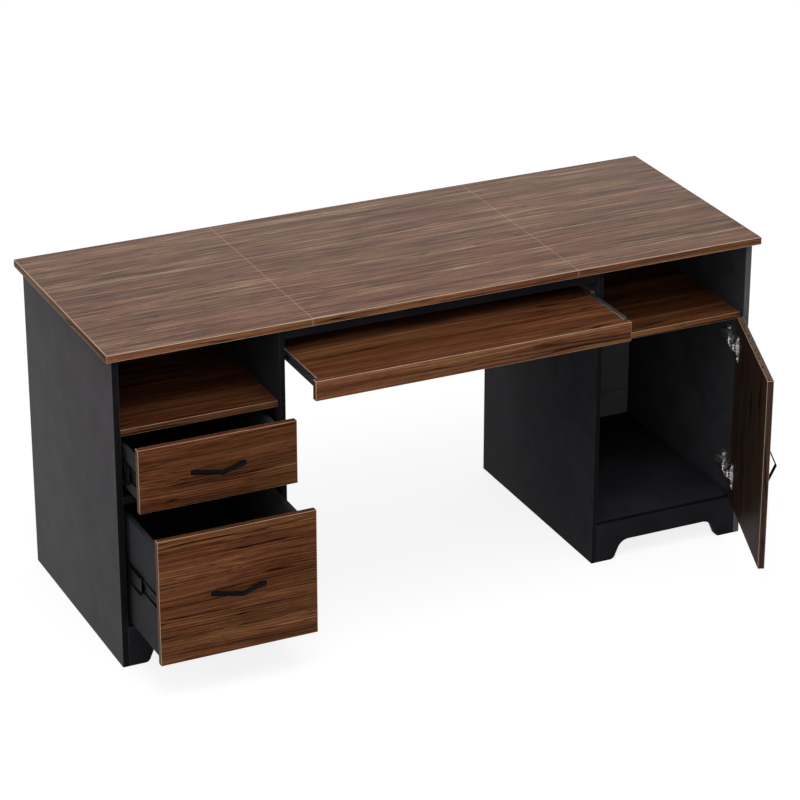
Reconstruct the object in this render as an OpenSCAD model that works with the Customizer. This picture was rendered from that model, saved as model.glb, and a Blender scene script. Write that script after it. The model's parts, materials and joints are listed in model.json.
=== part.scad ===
// Two-pedestal office desk. The left pedestal has an open niche over a small drawer and a file
// drawer, the right one an open niche over a cupboard, and a keyboard shelf slides out between them.
// x runs along the width, the front faces -y, z points up and the floor is z = 0.

/* [Worktop] */
// Width of the worktop, end to end
desk_w = 1600; // [1500:10:1900]
// Depth of the worktop, front to back
desk_d = 600; // [570:5:800]
// Height of the worktop's surface above the floor
desk_h = 760; // [700:5:820]
// Thickness of the worktop panels
top_t = 18; // [15:1:28]
// Width of the middle one of the three worktop panels
middle_top_w = 650; // [450:10:750]
// How far the worktop stands out past each end
top_over_side = 15; // [0:1:40]
// How far the worktop stands out past the front
top_over_front = 15; // [2:1:30]
// How far the worktop stands out past the back
top_over_back = 15; // [0:1:40]
// Radius of the worktop's eased edges
top_round = 1.5; // [0.5:0.25:3]

/* [Pedestals] */
// Clear width inside each pedestal
pedestal_w = 372; // [340:1:420]
// Thickness of the outer side panels
side_t = 15; // [12:1:22]
// Thickness of the side panels next to the knee space
inner_side_t = 12; // [12:1:20]
// Thickness of the niche shelves, floor panels and rails
shelf_t = 15; // [12:1:20]
// Clear height of the niche under the worktop
niche_h = 175; // [140:5:200]
// Height of the cupboard floor's upper face
floor_h = 97; // [85:1:110]
// Thickness of the back panels
back_t = 12; // [6:1:18]
// How far the back panels stand in from the sides' back edges
back_inset = 28; // [0:1:60]
// Height of the lower back rail of each pedestal
rear_rail_h = 118; // [100:1:140]
// Height of that rail's lower edge above the floor
rear_rail_up = 45; // [20:1:60]
// Depth of the rail between the two drawers
drawer_rail_d = 60; // [40:1:90]

/* [Plinth aprons] */
// Width of each flat foot of the apron
apron_foot_w = 38; // [25:1:60]
// Height of the apron's flat arch
apron_arch_h = 46; // [40:1:60]
// Length along the floor that each curved end of the arch takes
apron_ogee_w = 48; // [46:1:60]
// Radius of the round at the foot
apron_foot_r = 13; // [6:1:16]
// Radius of the hollow under the arch
apron_arch_r = 30; // [20:1:32]

/* [Knee space] */
// Height of the rail under the worktop's front edge
knee_rail_h = 28; // [20:1:40]
// How far that rail stands back from the front
knee_rail_inset = 6; // [0:1:20]
// Height of the modesty panel behind the knees
modesty_h = 272; // [150:1:400]
// How far the modesty panel's back face stands in from the sides' back edges
modesty_inset = 40; // [10:1:80]

/* [Drawer fronts and door] */
// Thickness of the fronts and the door
front_t = 15; // [15:1:20]
// Gap at each end of a drawer front
front_gap = 2.5; // [1.5:0.25:3.5]
// Gap between a front and the rail above or below it
rail_gap = 3; // [1:0.5:5]
// Gap of the fronts at the cupboard floor and at the shelf's upper face
edge_gap = 1; // [0.5:0.25:3]
// Gap between a closed front's back face and the shelf edges behind it
stop_gap = 1; // [0.5:0.25:3]
// Height of the upper drawer's front; the file drawer's front takes what is left below it
upper_front_h = 149; // [140:1:170]

/* [Drawer boxes] */
// Thickness of the box sides and backs
box_t = 12; // [10:1:15]
// Length of the box sides
box_len = 450; // [350:1:480]
// Thickness of the box bottoms
bottom_t = 3; // [3:0.5:6]
// Height of the bottom's groove above the box's lower edge
groove_up = 10; // [6:1:20]
// Depth of the groove in the sides and the front
groove_deep = 5; // [3:0.5:7]
// Play between a box bottom and its grooves
groove_play = 0.3; // [0.1:0.1:1]
// Height of the upper box's lower edge above its front's
upper_box_up = 14; // [6:1:20]
// How far the upper box ends below its front's upper edge
upper_box_down = 41; // [25:1:50]
// Height of the file box's lower edge above its front's
file_box_up = 3; // [1:1:12]
// How far the file box ends below its front's upper edge
file_box_down = 36; // [20:1:50]
// Height of the upper drawer's slides above the box's lower edge
upper_slide_up = 47; // [30:1:60]
// Height of the file drawer's slides above the box's lower edge
file_slide_up = 134; // [40:1:180]

/* [Pulls] */
// Length of a bent pull, end to end
pull_len = 130; // [100:1:160]
// Width of the pull's strip
pull_h = 11; // [8:0.5:16]
// Thickness of the pull's strip
pull_t = 3; // [2:0.25:4]
// How far the pull's bend stands off the front
pull_out = 28; // [22:1:36]
// Length of the solid foot at each end of a pull
pull_foot = 18; // [17:0.5:24]
// Distance from the pull's middle to the door's free edge
door_pull_in = 57; // [40:1:90]
// Diameter of the pull screws
pull_screw_d = 4; // [3:0.5:5]

/* [Keyboard shelf] */
// Height of the shelf's front strip
strip_h = 46; // [34:1:60]
// Distance from the worktop's underside to the shelf's upper face
strip_down = 62; // [56:1:90]
// Gap at each end of the front strip
strip_gap = 3; // [1.5:0.5:5]
// Thickness of the shelf board
tray_t = 15; // [14:1:18]
// Depth of the shelf board behind its front strip
tray_d = 330; // [280:1:400]

/* [Drawer slides] */
// Space that a slide takes between a panel and what it carries
slide_gap = 12.7; // [12.5:0.1:13.5]
// Length of the drawer slides
slide_len = 450; // [350:1:460]
// Height of the three-part drawer slides
slide_h = 45; // [42:1:50]
// Length of the keyboard shelf's slides
tray_slide_len = 350; // [250:1:400]
// Height of the two-part shelf slides
tray_slide_h = 27; // [26:0.5:32]
// Sheet thickness of the slides
slide_steel = 1.2; // [1:0.1:1.4]
// Running clearance between slide members
slide_play = 0.4; // [0.3:0.05:0.5]
// How far the slides start behind the closed front
slide_setback = 3; // [1:0.5:10]
// Distance of the first mounting hole from each end of a slide member
slide_hole_in = 35; // [20:1:60]
// Distance between the mounting holes along a slide member
slide_hole_pitch = 96; // [64:32:160]
// Diameter of the slides' mounting holes
slide_hole_d = 4.6; // [4:0.1:5.5]
// Length of the oblong hole beside each round one
slide_slot_len = 9; // [7:0.5:14]

/* [Cup hinges] */
// Distance from each end of the door to a hinge
hinge_in = 70; // [60:1:110]
// Gap between the closed door and the outer side
hinge_gap = 1.5; // [1.5:0.1:2]
// Diameter of the hinge cup
cup_d = 35; // [34:0.5:36]
// Depth of the hinge cup
cup_deep = 11.5; // [11:0.1:12]
// Distance from the door's edge to the cup's axis
cup_in = 22.5; // [22:0.1:23]
// Distance of the turning axis from the outer side's inner face, outwards
pivot_out = 3; // [2.8:0.1:3.4]
// Distance of the turning axis in front of the closed door's face
pivot_front = 7.3; // [7:0.1:7.6]
// Radius of the curved hinge links about the turning axis
link_r = 34; // [33.6:0.1:34.4]
// Width of the curved hinge links
link_w = 6; // [5:0.25:6.5]

/* [Pose] */
// How far the upper drawer is pulled out
upper_out = 95.5; // [0:0.5:400]
// How far the file drawer is pulled out
file_out = 196; // [0:1:400]
// How far the keyboard shelf is pulled out
tray_out = 160; // [0:1:250]
// How far the door is open, in degrees
door_open = 70; // [0:1:110]

/* [Hidden] */
$fn = 48;

// Faces of the carcass
outer_face_x = desk_w / 2 - top_over_side;
outer_in_x = outer_face_x - side_t;
inner_out_x = outer_in_x - pedestal_w;
knee_x = inner_out_x - inner_side_t;
bay_x = (outer_in_x + inner_out_x) / 2;
front_y = -desk_d / 2 + top_over_front;
back_y = desk_d / 2 - top_over_back;
bay_back_y = back_y - back_inset - back_t;
shelf_front_y = front_y + front_t + stop_gap;
top_z = desk_h - top_t;
shelf_z = top_z - niche_h;
panel_join = rear_rail_up + rear_rail_h;

// Heights of the fronts, from the niche shelf down to the floor panel
upper_z1 = shelf_z - edge_gap;
upper_z0 = upper_z1 - upper_front_h;
rail_z0 = upper_z0 - rail_gap - shelf_t;
file_z1 = rail_z0 - rail_gap;
file_z0 = floor_h + edge_gap;
door_z0 = floor_h + edge_gap;
door_z1 = shelf_z - edge_gap;

// Drawer boxes: lower and upper edge, and the slides' height
upper_box = [upper_z0 + upper_box_up, upper_z1 - upper_box_down];
file_box = [file_z0 + file_box_up, file_z1 - file_box_down];
upper_slide_z = upper_box[0] + upper_slide_up;
file_slide_z = file_box[0] + file_slide_up;
box_half_w = pedestal_w / 2 - slide_gap;
box_in_half_w = box_half_w - box_t;

// Slides
slide_y = front_y + front_t + slide_setback;
tray_z1 = top_z - strip_down;
tray_half_w = knee_x - slide_gap;
tray_slide_z = tray_z1 - tray_t / 2;
screw_play = 0.2;

// Door and hinges
door_x1 = outer_in_x - hinge_gap;
door_free_gap = 3.5;
door_x0 = inner_out_x + door_free_gap;
door_back_y = front_y + front_t;
pivot = [outer_in_x + pivot_out, front_y - pivot_front];
hinge_zs = [door_z0 + hinge_in, door_z1 - hinge_in];
cup_x = door_x1 - cup_in;
cup_play = 0.15;
cup_wall = 0.8;
cup_rim = 2;
flange_t = 1.2;
flange_r = 3;
cup_head_h = 1.5;
arm_steel = 1.2;
arm_half_h = 6;
link_play = 0.4;
link_plate = 2.4;
link_closed = [101, 153];
strap_closed = [103, 150];

board_black = [0.12, 0.12, 0.13];
box_grey = [0.16, 0.16, 0.17];
walnut = [0.42, 0.30, 0.23];
red_walnut = [0.38, 0.24, 0.16];
pull_black = [0.06, 0.06, 0.06];
zinc = [0.72, 0.73, 0.74];
dark_steel = [0.13, 0.13, 0.14];

// A board between two corners
module board(from, to) {
    translate(from) cube(to - from);
}

// A copy of a right-hand piece for the left end of the desk
module left_copy() {
    mirror([1, 0, 0]) children();
}

// A rectangle with round corners
module round_rect(from, to, r) {
    size = to - from;
    translate(from) {
        translate([r, 0]) square([size.x - 2 * r, size.y]);
        translate([0, r]) square([size.x, size.y - 2 * r]);
        for (x = [r, size.x - r], y = [r, size.y - r]) translate([x, y]) circle(r);
    }
}

// A profile drawn in x and z, run back from y0 to y1
module run_back(y0, y1) {
    translate([0, y1, 0]) rotate([90, 0, 0]) linear_extrude(y1 - y0) children();
}

// A worktop panel: its long edges are eased, and its end where it isn't joined to the next
module worktop_panel(x0, x1, ease_x0, ease_x1) {
    run0 = ease_x0 ? x0 : x0 - 2 * top_round;
    run1 = ease_x1 ? x1 : x1 + 2 * top_round;
    intersection() {
        translate([x0, 0, 0]) rotate([90, 0, 90]) linear_extrude(x1 - x0)
            round_rect([-desk_d / 2, top_z], [desk_d / 2, desk_h], top_round);
        run_back(-desk_d / 2, desk_d / 2) round_rect([run0, top_z], [run1, desk_h], top_round);
    }
}

module top_left_panel() color(walnut)
    worktop_panel(-desk_w / 2, -middle_top_w / 2, true, false);

module top_middle_panel() color(walnut)
    worktop_panel(-middle_top_w / 2, middle_top_w / 2, false, false);

module top_right_panel() color(walnut)
    worktop_panel(middle_top_w / 2, desk_w / 2, false, true);

// Pedestal panels, drawn for the right-hand end

module outer_side() {
    board([outer_in_x, front_y, 0], [outer_face_x, back_y, top_z]);
}

module inner_side() {
    board([knee_x, front_y, 0], [inner_out_x, back_y, top_z]);
}

module back_panel() {
    board([inner_out_x, bay_back_y, panel_join], [outer_in_x, bay_back_y + back_t, top_z]);
}

module rear_rail() {
    board([inner_out_x, bay_back_y, rear_rail_up], [outer_in_x, bay_back_y + back_t, panel_join]);
}

module niche_shelf() {
    board([inner_out_x, shelf_front_y, shelf_z - shelf_t], [outer_in_x, bay_back_y, shelf_z]);
}

module floor_panel() {
    board([inner_out_x, shelf_front_y, floor_h - shelf_t], [outer_in_x, bay_back_y, floor_h]);
}

// One end of the apron's arch, from the flat foot up to the arch, with x from the foot outwards:
// the straight stretch touches the round at the foot and the hollow under the arch
module arch_end(half_w) {
    foot_c = [0, apron_foot_r];
    arch_c = [apron_ogee_w, apron_arch_h - apron_arch_r];
    between = arch_c - foot_c;
    lean = atan2(between.y, between.x) - acos((apron_foot_r + apron_arch_r) / norm(between));
    toward = [cos(lean), sin(lean)];
    difference() {
        polygon([
            [0, -1], [0, 0], foot_c + apron_foot_r * toward, arch_c - apron_arch_r * toward,
            [apron_ogee_w, apron_arch_h], [half_w, apron_arch_h], [half_w, -1],
        ]);
        translate(foot_c) circle(apron_foot_r);
    }
    translate(arch_c) circle(apron_arch_r);
}

module front_apron() {
    half_w = pedestal_w / 2 - apron_foot_w;
    difference() {
        board([inner_out_x, front_y, 0], [outer_in_x, shelf_front_y, floor_h - shelf_t]);
        run_back(front_y - 1, shelf_front_y + 1) {
            translate([bay_x - half_w, 0]) arch_end(half_w);
            translate([bay_x + half_w, 0]) mirror([1, 0]) arch_end(half_w);
        }
    }
    board([inner_out_x, front_y, floor_h - shelf_t], [outer_in_x, shelf_front_y, floor_h]);
}

// Two pilot holes for each hinge's mounting plate
module outer_side_with_pilots() {
    difference() {
        outer_side();
        at_plate_screws() cylinder(d = plate_screw_d + screw_play, h = plate_screw_deep);
    }
}

module left_outer_side() color(board_black) left_copy() outer_side();
module left_inner_side() color(board_black) left_copy() inner_side();
module left_back_panel() color(board_black) left_copy() back_panel();
module left_rear_rail() color(board_black) left_copy() rear_rail();
module left_niche_shelf() color(walnut) left_copy() niche_shelf();
module left_floor_panel() color(board_black) left_copy() floor_panel();
module left_front_apron() color(board_black) left_copy() front_apron();
module right_outer_side() color(board_black) outer_side_with_pilots();
module right_inner_side() color(board_black) inner_side();
module right_back_panel() color(board_black) back_panel();
module right_rear_rail() color(board_black) rear_rail();
module right_niche_shelf() color(walnut) niche_shelf();
module right_floor_panel() color(board_black) floor_panel();
module right_front_apron() color(board_black) front_apron();

module left_drawer_rail() color(board_black) left_copy()
    board([inner_out_x, front_y, rail_z0], [outer_in_x, front_y + drawer_rail_d, rail_z0 + shelf_t]);

module knee_front_rail() color(board_black) {
    rail_y = front_y + knee_rail_inset;
    board([-knee_x, rail_y, top_z - knee_rail_h], [knee_x, rail_y + shelf_t, top_z]);
}

module modesty_panel() color(board_black) {
    panel_y = back_y - modesty_inset;
    board([-knee_x, panel_y - shelf_t, top_z - modesty_h], [knee_x, panel_y, top_z]);
}

// Bent pull, drawn with its middle at the origin, its feet on y = 0 and its bend towards -y
module bent_pull() {
    half = pull_len / 2;
    wing = atan2(pull_out, half);
    across = pull_t / cos(wing);
    gap_x = half - pull_foot;
    gap_y = across - pull_foot * tan(wing);
    difference() {
        translate([0, 0, -pull_h / 2]) linear_extrude(pull_h) difference() {
            polygon([[-half, 0], [0, -pull_out], [half, 0]]);
            polygon([[-gap_x, 1], [-gap_x, gap_y], [0, across - pull_out], [gap_x, gap_y], [gap_x, 1]]);
        }
        at_pull_screws() rotate([90, 0, 0]) translate([0, 0, -1])
            cylinder(d = pull_screw_d + screw_play, h = pull_screw_bite + screw_play + 1);
    }
}

pull_screw_in = pull_foot * 2 / 3;
pull_screw_bite = 3;
screw_head_h = 2.2;

// The two places where screws hold a pull's feet
module at_pull_screws() {
    for (hand = [-1, 1]) translate([hand * (pull_len / 2 - pull_screw_in), 0, 0]) children();
}

// Holes through a front behind a pull's feet
module pull_holes() {
    at_pull_screws() rotate([90, 0, 0])
        translate([0, 0, -front_t - 1]) cylinder(d = pull_screw_d + screw_play, h = front_t + 2);
}

// Pan-head screws from inside the front into the pull's feet
module pull_screw_pair() {
    at_pull_screws() rotate([90, 0, 0]) {
        translate([0, 0, -front_t]) cylinder(d = pull_screw_d, h = front_t + pull_screw_bite);
        translate([0, 0, -front_t - screw_head_h]) cylinder(d = 2 * pull_screw_d, h = screw_head_h);
    }
}

// Drawers: box is [lower edge, upper edge], and out is how far the drawer is pulled out

module drawer_front(z0, z1, box, out) {
    face_y = front_y - out;
    difference() {
        board([-bay_x - pedestal_w / 2 + front_gap, face_y, z0],
              [-bay_x + pedestal_w / 2 - front_gap, face_y + front_t, z1]);
        board([-bay_x - box_in_half_w - groove_deep, face_y + front_t - groove_deep, box[0] + groove_up],
              [-bay_x + box_in_half_w + groove_deep, face_y + front_t + 1,
               box[0] + groove_up + bottom_t + groove_play]);
        translate([-bay_x, face_y, (z0 + z1) / 2]) pull_holes();
    }
}

// hand is -1 for the left side of the box and 1 for the right
module box_side(hand, box, out) {
    y0 = front_y + front_t - out;
    translate([-bay_x, 0, 0]) mirror([hand < 0 ? 1 : 0, 0, 0]) difference() {
        board([box_in_half_w, y0, box[0]], [box_half_w, y0 + box_len, box[1]]);
        board([box_in_half_w - 1, y0 - 1, box[0] + groove_up],
              [box_in_half_w + groove_deep, y0 + box_len + 1,
               box[0] + groove_up + bottom_t + groove_play]);
    }
}

module box_back(box, out) {
    y1 = front_y + front_t - out + box_len;
    board([-bay_x - box_in_half_w, y1 - box_t, box[0] + groove_up + bottom_t],
          [-bay_x + box_in_half_w, y1, box[1]]);
}

module box_bottom(box, out) {
    y0 = front_y + front_t - out;
    half = box_in_half_w + groove_deep - groove_play;
    board([-bay_x - half, y0 - groove_deep + groove_play, box[0] + groove_up],
          [-bay_x + half, y0 + box_len, box[0] + groove_up + bottom_t]);
}

module at_front_middle(z0, z1, out) {
    translate([-bay_x, front_y - out, (z0 + z1) / 2]) children();
}

module upper_drawer_front() color(red_walnut) drawer_front(upper_z0, upper_z1, upper_box, upper_out);
module upper_drawer_left_side() color(box_grey) box_side(-1, upper_box, upper_out);
module upper_drawer_right_side() color(box_grey) box_side(1, upper_box, upper_out);
module upper_drawer_back() color(box_grey) box_back(upper_box, upper_out);
module upper_drawer_bottom() color(box_grey) box_bottom(upper_box, upper_out);
module upper_drawer_pull() color(pull_black) at_front_middle(upper_z0, upper_z1, upper_out) bent_pull();
module upper_pull_screws() color(dark_steel)
    at_front_middle(upper_z0, upper_z1, upper_out) pull_screw_pair();

module file_drawer_front() color(red_walnut) drawer_front(file_z0, file_z1, file_box, file_out);
module file_drawer_left_side() color(box_grey) box_side(-1, file_box, file_out);
module file_drawer_right_side() color(box_grey) box_side(1, file_box, file_out);
module file_drawer_back() color(box_grey) box_back(file_box, file_out);
module file_drawer_bottom() color(box_grey) box_bottom(file_box, file_out);
module file_drawer_pull() color(pull_black) at_front_middle(file_z0, file_z1, file_out) bent_pull();
module file_pull_screws() color(dark_steel)
    at_front_middle(file_z0, file_z1, file_out) pull_screw_pair();

// Slide members. Each section is drawn with x as the distance from the panel that carries the
// slide and y as the height from its middle, and is the same above and below.

// A C of rolled sheet open towards +x, with lips turned inwards
module lipped_channel(x0, x1, half_h, lip) {
    t = slide_steel;
    difference() {
        round_rect([x0, -half_h], [x1, half_h], t);
        round_rect([x0 + t, t - half_h], [x1 - t, half_h - t], t / 3);
        translate([x1 - t - 0.1, lip - half_h]) square([t + 0.2, 2 * (half_h - lip)]);
    }
}

// A hat of rolled sheet whose web lies at x1, with brims turned outwards at x0
module brimmed_channel(x0, x1, half_h, brim) {
    t = slide_steel;
    difference() {
        round_rect([x0, -half_h], [x1, half_h], t);
        translate([x0 - t, t - half_h]) square([x1 - x0, 2 * (half_h - t)]);
    }
    for (hand = [-1, 1]) translate([x0, hand > 0 ? half_h - t : -half_h - brim + t])
        square([t, brim]);
}

// Half heights of the three-part slide, from the outer member inwards
lip_h = 3;
outer_half = slide_h / 2;
middle_half = outer_half - slide_steel - slide_play;
inner_half = middle_half - lip_h;
// The carrying member reaches past the middle web, and the drawer member stays clear of it
outer_reach = 8.5;
middle_web = outer_reach - 2 * slide_steel - slide_play;
middle_reach = slide_gap - slide_steel - slide_play + 0.1;
drawer_brim_x = middle_reach - slide_steel - slide_play - slide_steel;
drawer_half = inner_half - slide_steel - lip_h + slide_play;

module outer_member() {
    lipped_channel(0, outer_reach, outer_half, lip_h);
}

module middle_member() {
    t = slide_steel;
    translate([middle_web, -middle_half]) square([t, 2 * middle_half]);
    for (hand = [0, 1]) mirror([0, hand]) {
        translate([slide_steel + slide_play, middle_half - t])
            square([middle_web - slide_steel - slide_play + t, t]);
        translate([middle_web, inner_half - t]) square([middle_reach - middle_web, t]);
        translate([middle_reach - t, inner_half - lip_h]) square([t, lip_h]);
    }
}

module drawer_member() {
    brim = inner_half - slide_steel - slide_play - drawer_half + slide_steel;
    brimmed_channel(drawer_brim_x, slide_gap, drawer_half, brim);
}

// Two-part slide
tray_half = tray_slide_h / 2;
tray_reach = 9.5;
tray_lip_h = 3.7;
tray_web_in = 1.8;
shelf_member_half = tray_half - tray_lip_h - tray_web_in;

module tray_outer_member() {
    lipped_channel(0, tray_reach, tray_half, tray_lip_h);
}

module tray_inner_member() {
    brim_top = tray_half - slide_steel - slide_play;
    x0 = tray_reach - 2 * slide_steel - slide_play;
    brimmed_channel(x0, slide_gap, shelf_member_half, brim_top - shelf_member_half + slide_steel);
}

// Mounting holes through the web at web_x: a row of round ones, each with an oblong one behind it
module slide_holes(web_x, len) {
    apart = 2 * slide_hole_d + slide_slot_len / 2;
    straight = slide_slot_len - slide_hole_d;
    for (y = [slide_hole_in : slide_hole_pitch : len - slide_hole_in - apart])
        translate([web_x - 1, y, 0]) rotate([90, 0, 90]) {
            cylinder(d = slide_hole_d, h = slide_steel + 2);
            translate([apart, 0, 0]) linear_extrude(slide_steel + 2) {
                square([straight, slide_hole_d], center = true);
                for (hand = [-1, 1]) translate([hand * straight / 2, 0]) circle(d = slide_hole_d);
            }
        }
}

// A slide member on the panel at wall_x0 and its mirror image on the one at wall_x1, with
// mounting holes where it has a web_x
module slide_pair(wall_x0, wall_x1, z, len, out, web_x) {
    y0 = slide_y - out;
    for (wall = [[wall_x0, 0], [wall_x1, 1]])
        translate([wall[0], y0, z]) mirror([wall[1], 0, 0]) difference() {
            run_back(0, len) children();
            if (!is_undef(web_x)) slide_holes(web_x, len);
        }
}

module bay_slides(z, out, web_x) {
    slide_pair(-outer_in_x, -inner_out_x, z, slide_len, out, web_x) children();
}

module tray_slides(out, web_x) {
    slide_pair(-knee_x, knee_x, tray_slide_z, tray_slide_len, out, web_x) children();
}

// The webs that are screwed on: one lies on the panel, the other on what slides
panel_web = 0;
load_web = slide_gap - slide_steel;

module upper_slide_cabinet_members() color(dark_steel)
    bay_slides(upper_slide_z, 0, panel_web) outer_member();
module upper_slide_middle_members() color(dark_steel)
    bay_slides(upper_slide_z, upper_out / 2) middle_member();
module upper_slide_drawer_members() color(dark_steel)
    bay_slides(upper_slide_z, upper_out, load_web) drawer_member();
module file_slide_cabinet_members() color(dark_steel)
    bay_slides(file_slide_z, 0, panel_web) outer_member();
module file_slide_middle_members() color(dark_steel)
    bay_slides(file_slide_z, file_out / 2) middle_member();
module file_slide_drawer_members() color(dark_steel)
    bay_slides(file_slide_z, file_out, load_web) drawer_member();

module tray_slide_cabinet_members() color(zinc) tray_slides(0, panel_web) tray_outer_member();
module tray_slide_shelf_members() color(zinc) tray_slides(tray_out, load_web) tray_inner_member();

module tray_board() color(red_walnut) {
    y0 = front_y + front_t - tray_out;
    board([-tray_half_w, y0, tray_z1 - tray_t], [tray_half_w, y0 + tray_d, tray_z1]);
}

module tray_front_strip() color(red_walnut) {
    y0 = front_y - tray_out;
    half = knee_x - strip_gap;
    board([-half, y0, tray_z1 - strip_h], [half, y0 + front_t, tray_z1]);
}

// Door and hinges. They are drawn for the closed door and turned about the upright axis at pivot.

module turned(angle) {
    translate(pivot) rotate(angle) translate(-pivot) children();
}

// Each hinge's place, with its middle height at z = 0
module at_hinges() {
    for (z = hinge_zs) translate([0, 0, z]) children();
}

// The cup's mouth, looking into the door
module at_cup() {
    translate([cup_x, door_back_y, 0]) rotate([90, 0, 0]) children();
}

module door_panel() color(red_walnut) turned(door_open) difference() {
    board([door_x0, front_y, door_z0], [door_x1, door_back_y, door_z1]);
    at_hinges() at_cup() translate([0, 0, -1]) cylinder(d = cup_d + 2 * cup_play, h = cup_deep + 1);
    at_hinges() at_cup() at_cup_screws() translate([0, 0, -1])
        cylinder(d = cup_screw_d + screw_play, h = cup_screw_deep + 1);
    at_door_pull() pull_holes();
}

// The pull stands upright near the door's free edge
module at_door_pull() {
    translate([door_x0 + door_pull_in, front_y, (door_z0 + door_z1) / 2])
        rotate([0, 90, 0]) children();
}

module door_pull() color(pull_black) turned(door_open) at_door_pull() bent_pull();
module door_pull_screws() color(dark_steel) turned(door_open) at_door_pull() pull_screw_pair();

cup_screw_d = 3.5;
cup_screw_deep = 11;
cup_screw_apart = 48;
cup_screw_in = 6;
flange_size = [15, 64];

// The flange's two screws, beside the cup and a little further from the door's edge
module at_cup_screws() {
    for (hand = [-1, 1]) translate([-cup_screw_in, hand * cup_screw_apart / 2, 0]) children();
}

// Curved link about the turning axis, as a band between two angles with round ends
module curved_band(angles) {
    difference() {
        intersection() {
            circle(link_r + link_w / 2, $fn = 96);
            polygon([[0, 0], 3 * link_r * [cos(angles[0]), sin(angles[0])],
                     3 * link_r * [cos(angles[1]), sin(angles[1])]]);
        }
        circle(link_r - link_w / 2, $fn = 96);
    }
    for (a = angles) translate(link_r * [cos(a), sin(a)]) circle(link_w / 2);
}

strap_z = arm_half_h + arm_steel + link_play;
strap_t = 1.2;
strap_foot_out = 5;
strap_foot_in = 2;
strap_foot_up = 4;

// Deep-drawn cup with its flange, and the two curved straps that carry the door on its links
module hinge_cup() {
    at_cup() difference() {
        union() {
            cylinder(d = cup_d, h = cup_deep);
            translate([0, 0, -flange_t]) cylinder(d = cup_d + 2 * cup_rim, h = flange_t);
            translate([-cup_screw_in, 0, -flange_t]) linear_extrude(flange_t)
                round_rect(-flange_size / 2, flange_size / 2, flange_r);
        }
        translate([0, 0, -flange_t - 1])
            cylinder(d = cup_d - 2 * cup_wall, h = cup_deep - cup_wall + flange_t + 1);
        at_cup_screws() translate([0, 0, -flange_t - 1])
            cylinder(d = cup_screw_d + screw_play, h = flange_t + 2);
    }
    for (hand = [-1, 1]) translate([0, 0, hand > 0 ? strap_z : -strap_z - strap_t]) {
        translate([pivot.x, pivot.y, 0]) linear_extrude(strap_t) curved_band(strap_closed);
        board([cup_x - strap_foot_out, door_back_y - cup_deep + cup_wall / 2, 0],
              [cup_x + strap_foot_in, door_back_y - strap_foot_up, strap_t]);
    }
}

module hinge_cups() color(zinc) turned(door_open) at_hinges() hinge_cup();

module hinge_cup_screws() color(zinc) turned(door_open) at_hinges() at_cup() at_cup_screws() {
    cylinder(d = cup_screw_d, h = cup_screw_deep);
    translate([0, 0, -flange_t - cup_head_h]) cylinder(d = 2 * cup_screw_d, h = cup_head_h);
    translate([0, 0, -flange_t]) cylinder(d = cup_screw_d, h = flange_t);
}

// Two curved plates that run between the arm's cheeks, joined by a pin at each end; the pin in the
// cup reaches out to the straps
module hinge_link() {
    half = arm_half_h - link_play;
    translate([pivot.x, pivot.y, 0]) {
        for (z = [-half, half - link_plate]) translate([0, 0, z]) linear_extrude(link_plate)
            curved_band(link_closed);
        for (end = [[link_closed[0], half], [link_closed[1], strap_z - link_play]])
            translate(link_r * [cos(end[0]), sin(end[0])])
                translate([0, 0, -end[1]]) cylinder(d = link_w / 2, h = 2 * end[1]);
    }
}

module hinge_links() color(zinc) turned(door_open / 2) at_hinges() hinge_link();

// Mounting plate: a wing with two screws and a spine under the arm, on the side's inner face
plate_t = 2;
wing_size = [20, 52];
wing_r = 5;
wing_back = 57;
wing_y = front_y + wing_back;
plate_screw_apart = 32;
plate_screw_d = 4;
plate_screw_deep = 10;
plate_head_h = 2;
spine_out = 9;
spine_back = 33;
spine_len = 46;
spine_y0 = front_y + spine_back;
spine_y1 = spine_y0 + spine_len;

module at_plate_screws() {
    at_hinges() for (hand = [-1, 1])
        translate([outer_in_x, wing_y, hand * plate_screw_apart / 2]) rotate([0, 90, 0]) children();
}

module hinge_mounting_plates() color(zinc) at_hinges() {
    difference() {
        translate([outer_in_x - plate_t, wing_y, 0]) rotate([90, 0, 90]) linear_extrude(plate_t)
            round_rect(-wing_size / 2, wing_size / 2, wing_r);
        for (hand = [-1, 1])
            translate([outer_in_x - plate_t - 1, wing_y, hand * plate_screw_apart / 2])
                rotate([0, 90, 0]) cylinder(d = plate_screw_d + screw_play, h = plate_t + 2);
    }
    board([outer_in_x - spine_out, spine_y0, link_play - arm_half_h],
          [outer_in_x, spine_y1, arm_half_h - link_play]);
}

module hinge_plate_screws() color(zinc) at_plate_screws() {
    translate([0, 0, -plate_t]) cylinder(d = plate_screw_d, h = plate_t + plate_screw_deep);
    translate([0, 0, -plate_t - plate_head_h]) cylinder(d = 2 * plate_screw_d, h = plate_head_h);
}

// Arm: a channel over the spine, whose cheeks reach forward and hold the pin that the links pass
arm_web_x = outer_in_x - spine_out - arm_steel;
arm_skirt_x = outer_in_x - plate_t - link_play;
nose_out = 20;
nose_back = 23;
nose_r = 5;
nose = [outer_in_x - nose_out, front_y + nose_back];
cheek_slope = 14;
cheek_step = 6;
guide_out = 19.5;
guide_back = 27.5;
guide_d = 4;
guide_end = 1;

module arm_cheek() {
    linear_extrude(arm_steel) {
        translate([arm_web_x, spine_y0]) square([arm_skirt_x - arm_web_x, spine_len]);
        translate(nose) circle(nose_r);
        polygon([
            nose - [nose_r, 0], [arm_web_x, spine_y0 + cheek_slope],
            [arm_skirt_x, spine_y0 + cheek_step], [arm_skirt_x, spine_y0],
            nose + nose_r * [cos(-50), sin(-50)],
        ]);
    }
}

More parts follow.
